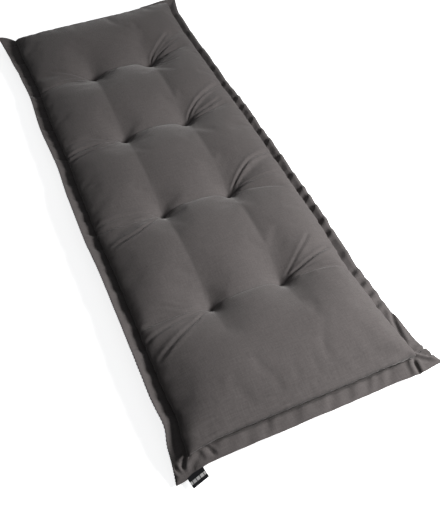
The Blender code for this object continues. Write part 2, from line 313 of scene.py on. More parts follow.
def follow_path(x, y, path):
    """For points, how far they are from a path, positive on its left, and how far along it, from 0 to 1."""
    lengths = np.linalg.norm(np.diff(path, axis=0), axis=1)
    starts = np.concatenate([[0], np.cumsum(lengths)])
    nearest = np.full(x.shape, np.inf)
    signed, along_it = np.zeros_like(x), np.zeros_like(x)
    for (x0, y0), (x1, y1), length, start in zip(path, path[1:], lengths, starts):
        run_x, run_y = (x1 - x0) / length, (y1 - y0) / length
        run = np.clip((x - x0) * run_x + (y - y0) * run_y, 0, length)
        off_x, off_y = x - x0 - run * run_x, y - y0 - run * run_y
        away = np.hypot(off_x, off_y)
        closer = away < nearest
        nearest = np.where(closer, away, nearest)
        signed = np.where(closer, np.copysign(away, run_x * off_y - run_y * off_x), signed)
        along_it = np.where(closer, (start + run) / starts[-1], along_it)
    return signed, along_it


def crease_path(number):
    """The line of one crease, from the left side to the right."""
    past_left, past_right = CREASES[number]
    left, right = (TUFT_X[number], TUFT_Y[0]), (TUFT_X[number], TUFT_Y[1])
    points = [(left[0] + x / 1000, left[1] + y / 1000) for x, y in past_left] + [left, right]
    return smooth_path(points + [(right[0] + x / 1000, right[1] + y / 1000) for x, y in past_right])


def fullness(x, y):
    """How far the cloth stands off the middle of the filling: 0 at a tuft, and 1 on a crown."""
    share = np.ones_like(x)
    for tuft_x in TUFT_X:
        reach_x = np.where(x > tuft_x, TUFT_NEAR_REACH, TUFT_FAR_REACH)
        reach_y = np.where(x > tuft_x, TUFT_NEAR_SIDE, TUFT_FAR_SIDE)
        for tuft_y in TUFT_Y:
            away = np.sqrt(((x - tuft_x) / reach_x) ** 2 + ((y - tuft_y) / reach_y) ** 2 + TUFT_BOTTOM**2)
            share *= 1 - TUFT_DEPTH * np.exp(TUFT_BOTTOM - away)
    for number in range(len(TUFT_X)):
        away, _ = follow_path(x, y, crease_path(number))
        reach = np.where(away > 0, CREASE_FAR_REACH, CREASE_NEAR_REACH)
        depth = np.interp(np.abs(y), CREASE_PLACES, CREASE_DEPTHS)
        share *= 1 - depth * np.exp(-((np.abs(away) / reach) ** CREASE_POWER))
        broad = np.where(away > 0, HOLLOW_FAR_REACH, HOLLOW_NEAR_REACH)
        share *= 1 - HOLLOW_DEPTH * np.exp(-((away / broad) ** 2))
    troughs = [(ALONG_DEPTH, ALONG_REACH, (TUFT_X[0], tuft), (TUFT_X[-1], tuft)) for tuft in TUFT_Y]
    troughs += [
        (TAIL_DEPTH, TAIL_REACH, (end * TUFT_X[-1], tuft), (end * (TUFT_X[-1] + TAIL_LENGTH), tuft))
        for end in (-1, 1) for tuft in TUFT_Y
    ]
    troughs += [
        (depth, LEANING_REACH, (TUFT_X[i], side * TUFT_Y[1]), (TUFT_X[i] + lean, side * SEAM_Y))
        for i, side, depth, lean in LEANING_TROUGHS
    ]
    for depth, reach, start, end in troughs:
        away, _ = follow_path(x, y, [start, end])
        share *= 1 - depth * np.exp(-((np.abs(away) / reach) ** TROUGH_POWER))
    return share


def shoulder(inside, reach, power):
    """The edge's rounding: 0 on the stitched line, and 1 where the full height is reached."""
    left = 1 - np.clip(inside / reach, 0, 1)
    return (1 - left**power) ** (1 / power)


def side_shape(across, along, negative, positive):
    """The shoulder's two numbers and the swelling at places, for the side that each is on."""
    low = across < 0
    reach, power = (np.where(low, *pair) for pair in zip(SHOULDERS[negative], SHOULDERS[positive]))
    swell = np.where(low, read_line(SWELLINGS[negative], along), read_line(SWELLINGS[positive], along))
    return reach, power, swell


def swelling(rise, amount):
    """How far the filling pushes the cloth out, where it has risen to a share of its height."""
    below = np.sin(math.pi / 2 * np.clip(rise / SWELL_HEIGHT, 0, 1))
    above = np.cos(math.pi / 2 * np.clip((rise - SWELL_HEIGHT) / (1 - SWELL_HEIGHT), 0, 1)) ** 2
    return amount * below * above


def wave(place):
    """The height of the edge's small waves at a place along it."""
    return sum(height * np.sin(math.tau * place / length + phase) for height, length, phase in WAVES)


def cloth_place(x, y, panel):
    """Where points of the laid-out cloth come to lie on the filled cushion.

    panel is 1 on the top panel and 0 on the lower one, and between them on the turned edge.
    """
    inside_x, inside_y = SEAM_X - np.abs(x), SEAM_Y - np.abs(y)
    reach_x, power_x, swell_x = side_shape(x, y, "far", "near")
    reach_y, power_y, swell_y = side_shape(y, x, "left", "right")
    rise_x, rise_y = shoulder(inside_x, reach_x, power_x), shoulder(inside_y, reach_y, power_y)
    risen_x, risen_y = np.maximum(rise_x, LEAST_RISE), np.maximum(rise_y, LEAST_RISE)
    rise = (risen_x**-CORNER_FILLING + risen_y**-CORNER_FILLING - 1) ** (-1 / CORNER_FILLING)
    rise = rise * (rise_x * rise_y > 0)
    flange_x, flange_y = np.clip(-inside_x / FLANGE_WIDTH, 0, 1), np.clip(-inside_y / FLANGE_WIDTH, 0, 1)
    far = x < 0
    end_out = np.where(far, read_line(END_LINE, y, 1), read_line(END_LINE, y, 3))
    end_up = np.where(far, read_line(END_LINE, y, 2), read_line(END_LINE, y, 4)) + wave(y)
    side_out = np.where(y < 0, read_line(SIDE_LINE, x, 1), read_line(SIDE_LINE, x, 2))
    corner = np.copysign(HALF_WIDTH, y)
    corner_up = np.where(far, read_line(END_LINE, corner, 2), read_line(END_LINE, corner, 4))
    corner_share = np.clip(1 - (HALF_LENGTH - np.abs(x)) / CORNER_LIFT_REACH, 0, 1) ** 2
    curl = np.where(y < 0, read_line(LEFT_CURL, x), read_line(RIGHT_CURL, x))
    side_up = corner_up * corner_share + wave(x) + curl
    side_out = side_out - curl * np.where(y < 0, LEFT_DRAW, RIGHT_DRAW) * flange_y
    across = flange_x + flange_y
    edge_up = (flange_x * end_up + flange_y * side_up) / np.maximum(across, TINY) - FLANGE_DROOP
    seam = SEAM_HEIGHT + np.where(across > 0, edge_up, 0.0) * np.maximum(flange_x, flange_y)
    # the right flange rises in its middle and levels out, and the left one first dips beside the filling
    curled = ease((flange_y - RIGHT_CURL_START) / RIGHT_CURL_SPAN) - flange_y
    seam = seam + np.where(y > 0, curl * curled, 0) * (1 - flange_x)
    seam = seam - np.where(y < 0, LEFT_DIP * np.sin(math.pi * flange_y) * (1 - flange_x), 0)
    half_thick = np.interp(np.maximum(flange_x, flange_y), FLANGE_SECTION[:, 0], FLANGE_SECTION[:, 1]) / 2
    full = fullness(x, y)
    above = seam + half_thick + (CROWN_HEIGHT - seam) * rise * full
    pressed = np.minimum(1, rise * UNDER_FLATTENING) * np.minimum(1, full * UNDER_PRESS)
    below = np.maximum(0.0, (seam - half_thick) * (1 - pressed))
    stretch = np.zeros_like(x)
    for end, side, amount, reach in CORNERS:
        away = np.hypot(x - end * HALF_LENGTH, y - side * HALF_WIDTH)
        at_corner = (x * end > 0) & (y * side > 0)
        stretch += np.where(at_corner, side * amount * np.clip(1 - away / reach, 0, 1) ** 2, 0)
    turned = EDGE_ROUNDING * 4 * panel * (1 - panel)
    swell_x = swelling(rise_x, swell_x) * ease(rise_y / SWELL_EASING)
    swell_y = swelling(rise_y, swell_y) * ease(rise_x / SWELL_EASING)
    out_x = swell_x + end_out * np.abs(x / HALF_LENGTH) ** END_SPREAD + turned * (flange_x >= 1)
    out_y = swell_y + side_out * (y / HALF_WIDTH) ** 2 + turned * (flange_y >= 1)
    height = below + (above - below) * panel
    return np.stack([x + np.sign(x) * out_x, y + np.sign(y) * out_y + stretch, height], axis=1)


# The two panels are laid out as a grid of quads each, joined round the edge.
along, across = lines(HALF_LENGTH, TUFT_X[-1]), lines(HALF_WIDTH, HALF_WIDTH)
columns, rows = len(along), len(across)
grid_x, grid_y = (part.ravel() for part in np.meshgrid(along, across, indexing="ij"))
laid_x, laid_y = np.tile(grid_x, 2), np.tile(grid_y, 2)
panel = np.repeat([1.0, 0.0], columns * rows)
filled = cloth_place(laid_x, laid_y, panel)

index = np.arange(columns * rows).reshape(columns, rows)
quads = np.stack([index[:-1, :-1], index[1:, :-1], index[1:, 1:], index[:-1, 1:]], axis=-1).reshape(-1, 4)
under = index + columns * rows
rim = [
    np.stack([under[:-1, 0], under[1:, 0], index[1:, 0], index[:-1, 0]], axis=-1),
    np.stack([under[1:, -1], under[:-1, -1], index[:-1, -1], index[1:, -1]], axis=-1),
    np.stack([under[0, 1:], under[0, :-1], index[0, :-1], index[0, 1:]], axis=-1),
    np.stack([under[-1, :-1], under[-1, 1:], index[-1, 1:], index[-1, :-1]], axis=-1),
]
faces = np.concatenate([quads, quads[:, ::-1] + columns * rows, *rim])
cover = bpy.data.meshes.new("cushion_cover")
cover.from_pydata(filled.tolist(), [], faces.tolist())
laid = cover.attributes.new("laid", "FLOAT_VECTOR", "POINT")
laid.data.foreach_set("vector", np.stack([laid_x, laid_y, panel], axis=1).ravel())
cushion = bpy.data.objects.new("cushion_cover", cover)
scene.collection.objects.link(cushion)

CLOTH_FRAMES = 20
CLOTH_PRESSURE = 4.0
CLOTH_SLACK = 0.010  # the cloth is this share larger than the filling, so it wrinkles where it is held
CLOTH_CAP = 0.006  # no point moves further than this
CLOTH_QUALITY = 6  # steps to a frame
POINT_MASS = 0.25  # kilograms
STRETCH_STIFFNESS, SHEAR_STIFFNESS, BEND_STIFFNESS = 25, 10, 0.3
SEAM_HELD, SEAM_FADE = 0.006, 0.022  # held this far inside the stitched line, and less and less over the next
TUFT_HELD, TUFT_FADE = 0.003, 0.010  # the same round each tuft
SUBDIVISIONS = 2


def apply_modifier(piece, name):
    """Applies one modifier of a piece."""
    bpy.ops.object.select_all(action="DESELECT")
    bpy.context.view_layer.objects.active = piece
    piece.select_set(True)
    bpy.ops.object.modifier_apply(modifier=name)


def read_vectors(items, name="vector"):
    """One vector of each of a mesh's items, as an array."""
    values = np.empty(len(items) * 3)
    items.foreach_get(name, values)
    return values.reshape(-1, 3)


def settle_cloth():
    """Fills the cover by a short cloth simulation, held at its seam, its tufts and its underside.

    Gives how far each point moved.
    """
    to_tuft = np.min([np.hypot(laid_x - tx, laid_y - ty) for tx in TUFT_X for ty in TUFT_Y], axis=0)
    inside = np.minimum(SEAM_X - np.abs(laid_x), SEAM_Y - np.abs(laid_y))
    held = np.maximum.reduce([
        (panel < 0.5) * 1.0,
        np.clip(1 - (inside - SEAM_HELD) / SEAM_FADE, 0, 1),
        np.clip(1 - (to_tuft - TUFT_HELD) / TUFT_FADE, 0, 1),
    ]).round(2)
    group = cushion.vertex_groups.new(name="held")
    for share in np.unique(held[held > 0]):
        group.add(np.flatnonzero(held == share).tolist(), float(share), "REPLACE")
    cloth = cushion.modifiers.new("filling", "CLOTH")
    cloth.settings.quality = CLOTH_QUALITY
    cloth.settings.mass = POINT_MASS
    cloth.settings.tension_stiffness = cloth.settings.compression_stiffness = STRETCH_STIFFNESS
    cloth.settings.shear_stiffness = SHEAR_STIFFNESS
    cloth.settings.bending_stiffness = BEND_STIFFNESS
    cloth.settings.shrink_min = -CLOTH_SLACK
    cloth.settings.use_pressure = True
    cloth.settings.uniform_pressure_force = CLOTH_PRESSURE
    cloth.settings.vertex_group_mass = group.name
    cloth.settings.effector_weights.gravity = 0
    cloth.collision_settings.use_collision = False
    cloth.point_cache.frame_end = CLOTH_FRAMES
    for number in range(1, CLOTH_FRAMES + 1):
        scene.frame_set(number)
    apply_modifier(cushion, cloth.name)
    scene.frame_set(1)
    cushion.vertex_groups.remove(cushion.vertex_groups["held"])
    moved = read_vectors(cover.vertices, "co") - filled
    far = np.linalg.norm(moved, axis=1, keepdims=True)
    return moved * np.minimum(1, CLOTH_CAP / np.maximum(far, TINY))


# The mesh is subdivided while its points hold only how far the simulation moved them, which rounds that
# motion. Each new point then goes to its own place on the filled cushion, and the motion is added.
settled = settle_cloth()
cover.vertices.foreach_set("co", settled.ravel())
subdivision = cushion.modifiers.new("rounding", "SUBSURF")
subdivision.levels = subdivision.render_levels = SUBDIVISIONS
apply_modifier(cushion, subdivision.name)
motion, spots = read_vectors(cover.vertices, "co"), read_vectors(cover.attributes["laid"].data)
cover.vertices.foreach_set("co", (cloth_place(*spots.T) + motion).ravel())
cover.update()

# The folds that the tufts pull into the cloth on its way to the sides. Each row: number of the tuft along X,
# side, depth in millimetres, and how its line runs from the tuft, in millimetres along X and Y
FOLDS = [
    (0, 1, 2.6, (-5, 4), (-21, 15), (-44, 45), (-66, 74)),
    (0, 1, 2.0, (-3, 7), (-12, 26), (-25, 58), (-40, 94)),
    (0, 1, 1.4, (1, 8), (3, 28), (-2, 58), (-6, 80)),
    (0, 1, 0.7, (10, 9), (34, 29), (38, 65)),
    (1, 1, 3.4, (-6, 5), (-23, 21), (-42, 48), (-58, 79), (-76, 110)),
    (1, 1, 2.0, (-2, 8), (-7, 32), (-13, 63), (-25, 95)),
    (1, 1, 1.4, (1, 8), (6, 28), (3, 58), (-4, 84)),
    (2, 1, 3.4, (-6, 7), (-23, 27), (-44, 57), (-53, 80), (-64, 114)),
    (2, 1, 1.8, (0, 9), (0, 33), (1, 67), (2, 106)),
    (2, 1, 1.2, (4, 10), (16, 40), (27, 70), (39, 101)),
    (3, 1, 1.4, (-6, 9), (-21, 31), (-43, 61), (-62, 84)),
    (3, 1, 3.4, (-2, 9), (-6, 33), (-15, 69), (-26, 110)),
    (3, 1, 2.2, (2, 10), (7, 41), (12, 76), (20, 112)),
    (0, -1, 1.4, (-3, -8), (-9, -30), (-24, -55), (-46, -85)),
    (0, -1, 1.4, (6, -8), (20, -29), (10, -55), (12, -85), (10, -118)),
    (1, -1, 1.4, (-2, -10), (-5, -39), (-17, -65), (-23, -99)),
    (1, -1, 2.4, (2, -11), (8, -44), (6, -80), (8, -108), (6, -122)),
    (1, -1, 1.9, (6, -12), (23, -50), (24, -81), (24, -109), (25, -122)),
    (2, -1, 1.9, (-3, -11), (-10, -44), (-14, -80), (-16, -108)),
    (2, -1, 2.3, (2, -12), (8, -49), (5, -80), (-1, -108), (-9, -126)),
    (2, -1, 2.3, (9, -13), (37, -51), (46, -81), (49, -100)),
    (3, -1, 1.1, (-2, -11), (-6, -44), (-24, -70), (-30, -85)),
    (3, -1, 3.0, (0, -15), (0, -59), (-1, -94), (-4, -117)),
    (3, -1, 1.9, (4, -15), (15, -60), (23, -94), (31, -118)),
    (3, -1, 2.6, (10, -14), (39, -56), (60, -86), (72, -104)),
]
FOLD_WIDTHS = (0.0018, 0.0033)  # half a fold's width at the tuft and at its far end
FOLD_START, FOLD_START_POWER = 0.15, 0.7  # the share of its length over which it deepens
FOLD_END, FOLD_END_POWER = 0.14, 0.8  # and over which it fades
# The raised flanks: their distance from the fold and their half width, in half widths of the fold, and their
# height as a share of its depth
FLANK_PLACE, FLANK_WIDTH, FLANK_HEIGHT = 2.2, 1.3, 0.5
# No fold is further from its tuft along X than the first, or nearer the cushion's middle line than the second
FOLD_REACH, FOLD_INNER = 0.14, 0.03
# Each crease has a narrow pinch of this depth and reach at its bottom. It fades over a share of its length
# at both ends, and it is nowhere further from its tuft along X than the last
CREASE_PINCH, PINCH_REACH, PINCH_END, PINCH_WINDOW = 0.0015, 0.0048, 0.2, 0.08
# Where the flange's puckers rise towards +X or +Y. Each row: the place along it, how high in millimetres, and
# half its length
PUCKERS = {
    "right": [
        (-0.520, 1.6, 9), (-0.430, 1.6, 9), (-0.350, 2.0, 9), (-0.275, 1.8, 9), (-0.210, 2.2, 8),
        (-0.148, 3.4, 7), (-0.116, 2.8, 7), (-0.069, 3.4, 7), (-0.027, 3.2, 7), (0.010, 3.4, 7),
        (0.064, 3.6, 7), (0.121, 4.8, 9), (0.163, 3.6, 6), (0.189, 3.4, 6), (0.218, 3.4, 6), (0.254, 3.4, 7),
        (0.284, 3.4, 7), (0.340, 1.6, 8), (0.385, 3.0, 6), (0.4125, 3.4, 6), (0.438, 3.4, 6), (0.462, 3.2, 6),
    ],
    "left": [
        (-0.480, 2.0, 10), (-0.430, -1.6, 7), (-0.390, 2.4, 8), (-0.340, 3.4, 7), (-0.300, -2.2, 8),
        (-0.262, 1.8, 6), (-0.215, 2.8, 7), (-0.168, -1.8, 6), (-0.112, 3.6, 7), (-0.075, -1.8, 6),
        (-0.030, 2.6, 8), (0.015, 1.8, 6), (0.060, -2.4, 8), (0.112, 3.0, 7), (0.150, 2.2, 8),
        (0.200, -1.8, 6), (0.255, 2.6, 8), (0.300, 1.8, 6), (0.340, -3.0, 8), (0.385, 2.0, 6),
        (0.430, 2.4, 8), (0.470, -1.8, 6), (0.510, 3.0, 9),
    ],
    "near": [
        (-0.150, 1.6, 8), (-0.105, -1.2, 10), (-0.060, 1.4, 7), (-0.010, 1.2, 9), (0.042, -1.4, 7),
        (0.085, 1.6, 8), (0.118, 1.4, 6), (0.150, -1.8, 7),
    ],
    "far": [(-0.130, 1.2, 12), (-0.060, -1.0, 12), (0.020, 1.2, 12), (0.100, 1.4, 10), (0.160, -1.2, 10)],
}
PUCKER_LEAN = 0.45  # how far a pucker leans towards the far end or the left side on its way out
PUCKER_START = 0.006  # the distance from the stitched line at which a pucker has its full height
PUCKER_FADE = 0.52  # the share of a pucker's height that is gone at the edge
# Tucks at the near corners, where the cloth was gathered. Each row: depth and half width in millimetres, then
# the line, X and Y in millimetres. One of less than no depth is a ridge
TUCKS = [
    (3.0, 2.6, (560, -200), (572, -205), (580, -208), (588, -210)),
    (-2.6, 3.6, (562, -176), (572, -188), (580, -198), (588, -206)),
    (-1.6, 3.6, (552, -214), (568, -216), (582, -217)),
    (2.4, 2.0, (572, -220), (581, -217), (589, -212)),
    (2.6, 2.2, (568, -172), (576, -167), (592, -161)),
    (-1.6, 3.0, (568, -181), (579, -176), (592, -172)),
    (-3.4, 2.6, (552, 193), (564, 201), (576, 209), (590, 219)),
    (3.6, 2.0, (562, 206), (561, 216), (559, 233)),
    (3.2, 2.2, (579, 211), (577, 222), (575, 241)),
    (3.4, 2.2, (569, 196), (580, 192), (599, 189)),
    (-1.8, 2.6, (569, 188), (580, 184), (599, 181)),
    (3.6, 3.2, (470, 224), (492, 213), (515, 207), (545, 202)),
]
TUCK_WINDOW = 0.07  # no tuck goes further than this from the second point of its line
# At the near end a groove runs along the seam, then a roll of the filling, then a shallow hollow. Each row:
# distance inside the stitched line, rise, half width
NEAR_ROLL = [(0.0015, -0.0054, 0.0056), (0.0095, 0.0036, 0.0055), (0.0220, -0.0030, 0.0070)]
ROLL_START, ROLL_EASING = 0.01, 0.04  # inside the sides' seams: where they begin, and over how much they grow
# Fine gathers where the stitching draws the cloth in, on both sides of it. Each row: height, length, phase
GATHERS = [(0.00040, 0.0131, 0.3), (0.00035, 0.0192, 1.7), (0.00030, 0.0287, 4.0), (0.00045, 0.0410, 2.6)]
GATHER_REACH = 0.011
NEAR_GATHERING = 0.5  # the near end is sewn flatter than the sides, by this share
UNDER_GATHERING = 0.5  # and the lower panel flatter than the top one
STITCH_HOLD = 0.001  # the stitching holds the cloth flat over this distance


def fold_height(x, y, path, depth, widths):
    """A fold: a sunk line between two raised flanks, which starts and ends in nothing."""
    away, share = follow_path(x, y, path)
    width = widths[0] + (widths[1] - widths[0]) * share
    section = np.exp(-((away / width) ** 2))
    flank = np.exp(-(((np.abs(away) - FLANK_PLACE * width) / (FLANK_WIDTH * width)) ** 2))
    start = np.clip(share / FOLD_START, 0, 1) ** FOLD_START_POWER
    end = np.clip((1 - share) / FOLD_END, 0, 1) ** FOLD_END_POWER
    return depth * start * end * (FLANK_HEIGHT * flank - section)


def pucker_height(side, place, out):
    """The rise of one side's flange at places along it, out being how far they are past the stitched line."""
    height = np.zeros_like(place)
    for centre, rise, half in PUCKERS[side]:
        run = (place - centre + PUCKER_LEAN * out) * 1000 / half
        height += rise / 1000 * run * np.exp(0.5 - run**2 / 2)
    return height * ease(out / PUCKER_START) * (1 - PUCKER_FADE * np.clip(out / FLANGE_WIDTH, 0, 1) ** 2)


def sculpt_cover():
    """Moves the cover's points for the folds, the creases, the flange's puckers and the seam's gathers."""
    points, normals = read_vectors(cover.vertices, "co"), read_vectors(cover.vertex_normals)
    x, y, top = spots.T
    inside_x, inside_y = SEAM_X - np.abs(x), SEAM_Y - np.abs(y)
    inside = np.minimum(inside_x, inside_y)
    height = np.zeros_like(x)
    upper = np.flatnonzero((top > 0.5) & (inside > 0))
    for number, side, depth, *path in FOLDS:
        tuft = np.array([TUFT_X[number], side * TUFT_Y[1]])
        path = smooth_path(tuft + np.array(path) / 1000)
        near = upper[(np.abs(x[upper] - tuft[0]) < FOLD_REACH) & (y[upper] * side > FOLD_INNER)]
        height[near] += fold_height(x[near], y[near], path, depth / 1000, FOLD_WIDTHS)
    for number in range(len(TUFT_X)):
        near = upper[np.abs(x[upper] - TUFT_X[number]) < PINCH_WINDOW]
        away, share = follow_path(x[near], y[near], crease_path(number))
        ends = np.clip(share / PINCH_END, 0, 1) * np.clip((1 - share) / PINCH_END, 0, 1)
        height[near] -= CREASE_PINCH * ends * np.exp(-np.abs(away) / PINCH_REACH)
    at_roll = ease((inside_y - ROLL_START) / ROLL_EASING) * (x > 0) * (top > 0.5)
    for place, rise, half in NEAR_ROLL:
        height += rise * np.exp(-(((inside_x - place) / half) ** 2)) * at_roll
    # gathers on the wall of the filling and on the flange beside the stitching
    at_end = inside_x < inside_y
    run = np.where(at_end, y, x)
    gather = sum(rise * np.sin(math.tau * run / length + phase) for rise, length, phase in GATHERS)
    gather = gather * np.where(at_end & (x > 0), NEAR_GATHERING, 1) * np.where(top > 0.5, 1, UNDER_GATHERING)
    height += gather * np.exp(-np.abs(inside) / GATHER_REACH) * ease(np.abs(inside) / STITCH_HOLD)
    points += normals * height[:, None]
    out_x, out_y = np.maximum(0, -inside_x), np.maximum(0, -inside_y)
    along_side = np.where(y > 0, pucker_height("right", x, out_y), pucker_height("left", x, out_y))
    along_end = np.where(x > 0, pucker_height("near", y, out_x), pucker_height("far", y, out_x))
    points[:, 2] += (along_side * out_y + along_end * out_x) / np.maximum(out_x + out_y, TINY)
    for depth, width, *path in TUCKS:
        path, widths = np.array(path) / 1000, (width / 1000, width / 1000)
        close = np.hypot(x - path[1, 0], y - path[1, 1]) < TUCK_WINDOW
        near = np.flatnonzero(((top > 0.5) | (inside < 0)) & close)
        points[near, 2] += fold_height(x[near], y[near], smooth_path(path), depth / 1000, widths)
    points[:, 2] = np.maximum(points[:, 2], 0)
    cover.vertices.foreach_set("co", points.ravel())
    cover.update()


sculpt_cover()

# The lower panel is laid out past the upper one's edge, so the thin edge has cloth of its own.
EDGE_CLOTH = 0.003
lower = spots[:, 2] <= 0.5
flat_x = spots[:, 0] * np.where(lower, 1 + EDGE_CLOTH / HALF_LENGTH, 1)
flat_y = spots[:, 1] * np.where(lower, 1 + EDGE_CLOTH / HALF_WIDTH, 1)


def map_cloth(mesh, name, flat):
    """Gives each corner of each face its place on the flat cloth, in metres, for the weave to follow."""
    corners = np.empty(len(mesh.loops), dtype=np.int32)
    mesh.loops.foreach_get("vertex_index", corners)
    mesh.uv_layers.new(name=name).data.foreach_set("uv", flat[corners].ravel())


map_cloth(cover, "laid_out", np.stack([flat_x, flat_y], axis=1))
cover.shade_smooth()

# Solution-dyed acrylic canvas, plain woven, matt. Its threads are 0.8 mm apart, each a little lighter or
# darker than the next, with slubs along both ways of the weave and a soft sheen where it turns away.
THREAD_PITCH = 0.0008
THREAD_WANDER = {"Distortion": 0.6, "Detail": 1.0, "Detail Scale": 0.2}
# The noises on the laid-out cloth. Each row: its grain along and across the cushion, detail, roughness
SLUBS_ALONG = (1 / 45, 1 / 900, 3.0, 0.60)  # 22 mm long and 1.1 mm wide
SLUBS_ACROSS = (1 / 900, 1 / 45, 3.0, 0.60)
SPECKLE = (1 / 330, 1 / 330, 2.0, 0.60)  # 3 mm
FADING = (1 / 9, 1 / 9, 3.0, 0.55)  # 110 mm
LIGHTENING = (0.30, 0.30, 0.25, 0.15, 0.05)  # how much those four and the threads change the shade
SLUB_RELIEF = 0.5  # the height of a slub, where a thread's is 1
DARKEST, LIGHTEST = (0.25, "#423e3d"), (0.80, "#625d5c")


def wave_scale(pitch):
    """The scale at which Blender's wave texture has one wave in each pitch, in metres."""
    return math.pi / 10 / pitch


canvas, canvas_shader = new_material("anthracite_canvas")
canvas_shader.inputs["Roughness"].default_value = 0.92
canvas_shader.inputs["Specular IOR Level"].default_value = 0.25
canvas_shader.inputs["Sheen Weight"].default_value = 0.25
canvas_shader.inputs["Sheen Roughness"].default_value = 0.45
canvas_shader.inputs["Sheen Tint"].default_value = linear("#f3f1ef")
laid_out = add_node(canvas, "ShaderNodeUVMap", uv_map="laid_out").outputs["UV"]
warp, weft = (
    add_node(
        canvas, "ShaderNodeTexWave", {"Vector": laid_out},
        {"Scale": wave_scale(THREAD_PITCH), **THREAD_WANDER}, bands_direction=direction,
    ).outputs["Fac"]
    for direction in "XY"
)
over_under = add_node(canvas, "ShaderNodeTexChecker", {"Vector": laid_out}, {"Scale": 1 / THREAD_PITCH})
threads = add_node(
    canvas, "ShaderNodeMix", {"Factor": over_under.outputs["Fac"], "A": warp, "B": weft}
).outputs["Result"]
noises = []
for grain_along, grain_across, detail, roughness in (SLUBS_ALONG, SLUBS_ACROSS, SPECKLE, FADING):
    stretched = add_node(
        canvas, "ShaderNodeMapping", {"Vector": laid_out}, {"Scale": (1 / grain_along, 1 / grain_across, 1)}
    )
    noises.append(add_node(
        canvas, "ShaderNodeTexNoise", {"Vector": stretched.outputs["Vector"]},
        {"Scale": 1.0, "Detail": detail, "Roughness": roughness}, noise_dimensions="2D",
    ).outputs["Fac"])
lightness = None
for pattern, amount in zip([*noises, threads], LIGHTENING):
    links = {0: pattern} if lightness is None else {0: pattern, 2: lightness}
    lightness = add_node(
        canvas, "ShaderNodeMath", links, {1: amount, 2: 0.0}, operation="MULTIPLY_ADD"
    ).outputs["Value"]
colours = add_node(canvas, "ShaderNodeValToRGB", {"Fac": lightness})
for stop, (position, hex_colour) in zip(colours.color_ramp.elements, (DARKEST, LIGHTEST)):
    stop.position = position
    stop.color = linear(hex_colour)
canvas.node_tree.links.new(colours.outputs["Color"], canvas_shader.inputs["Base Color"])
relief = threads
for slubs in noises[:2]:
    relief = add_node(
        canvas, "ShaderNodeMath", {0: slubs, 2: relief}, {1: SLUB_RELIEF}, operation="MULTIPLY_ADD"
    ).outputs["Value"]
weave_bump = add_node(canvas, "ShaderNodeBump", {"Height": relief}, {"Strength": 0.25, "Distance": 0.0003})
canvas.node_tree.links.new(weave_bump.outputs["Normal"], canvas_shader.inputs["Normal"])
cover.materials.append(canvas)

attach(cushion, "root")
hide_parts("cushion")

# ---- The topstitching ------------------------------------------------------------------------------------
# A line of stitches in dark polyester thread goes round just outside the filling, through both panels, so it
# shows on the top and on the underside. Each stitch lies proud and dips into the canvas at its ends.
STITCH_PITCH = 0.0035
STITCH_LENGTH = 0.0031
THREAD_THICKNESS = 0.00055
STITCH_OUTSIDE = 0.0011  # the line's distance outside the edge of the filling
# Past the first share of its length from its middle, a stitch dips by the second share of its thickness.
STITCH_ENDS, STITCH_DIP = 0.3, 0.45
STITCH_LIFT = 0.25  # the share of its thickness by which its middle lies off the cloth
NEAREST_POINTS = 4  # of the cover, whose mean gives the cloth's place under a stitch

# Bonded polyester thread, darker and smoother than the canvas, with a twist of 0.45 mm.
TWIST_PITCH = 0.000449
thread_material, thread_shader = new_material("polyester_thread")
thread_shader.inputs["Base Color"].default_value = linear("#2b2726")
thread_shader.inputs["Roughness"].default_value = 0.62
thread_shader.inputs["Sheen Weight"].default_value = 0.15
thread_place = add_node(thread_material, "ShaderNodeTexCoord")
thread_twist = add_node(
    thread_material, "ShaderNodeTexWave", {"Vector": thread_place.outputs["Object"]},
    {"Scale": wave_scale(TWIST_PITCH)}, bands_direction="DIAGONAL",
)
thread_bump = add_node(
    thread_material, "ShaderNodeBump", {"Height": thread_twist.outputs["Fac"]},
    {"Strength": 0.3, "Distance": 0.0001},
)
thread_material.node_tree.links.new(thread_bump.outputs["Normal"], thread_shader.inputs["Normal"])

# The finished cover's points by their place on the laid-out cloth, the underside a metre away from the top
cover_points, cover_normals = read_vectors(cover.vertices, "co"), read_vectors(cover.vertex_normals)
cloth_tree = kdtree.KDTree(len(spots))
for number, (laid_along, laid_across, side) in enumerate(spots):
    cloth_tree.insert((laid_along, laid_across, round(side)), number)
cloth_tree.balance()


def on_cover(x, y, side):
    """The place and the normal of a spot on the laid-out cloth, from the cover's points nearest to it."""
    found = cloth_tree.find_n((x, y, side), NEAREST_POINTS)
    weights = np.array([1 / (distance**2 + TINY) for _, _, distance in found])
    weights /= weights.sum()
    numbers = [number for _, number, _ in found]
    return Vector(weights @ cover_points[numbers]), Vector(weights @ cover_normals[numbers]).normalized()


def model_stitch(name, length, thickness):
    """One stitch along X: a grain of thread whose ends dip into the cloth."""
    bpy.ops.object.select_all(action="DESELECT")
    bpy.ops.mesh.primitive_uv_sphere_add(segments=8, ring_count=6, radius=0.5)
    made = bpy.context.object
    made.name = made.data.name = name
    bpy.ops.object.mode_set(mode="EDIT")
    bpy.ops.mesh.select_all(action="SELECT")
    bpy.ops.transform.rotate(value=math.pi / 2, orient_axis="Y", center_override=(0, 0, 0))
    bpy.ops.transform.resize(value=(length, thickness, thickness), center_override=(0, 0, 0))
    shape = bmesh.from_edit_mesh(made.data)
    for point in shape.verts:
        point.select = abs(point.co.x) > STITCH_ENDS * length
    shape.select_flush_mode()
    bmesh.update_edit_mesh(made.data)
    bpy.ops.transform.translate(value=(0, 0, -STITCH_DIP * thickness))
    bpy.ops.object.mode_set(mode="OBJECT")
    bpy.ops.object.shade_smooth()
    return made


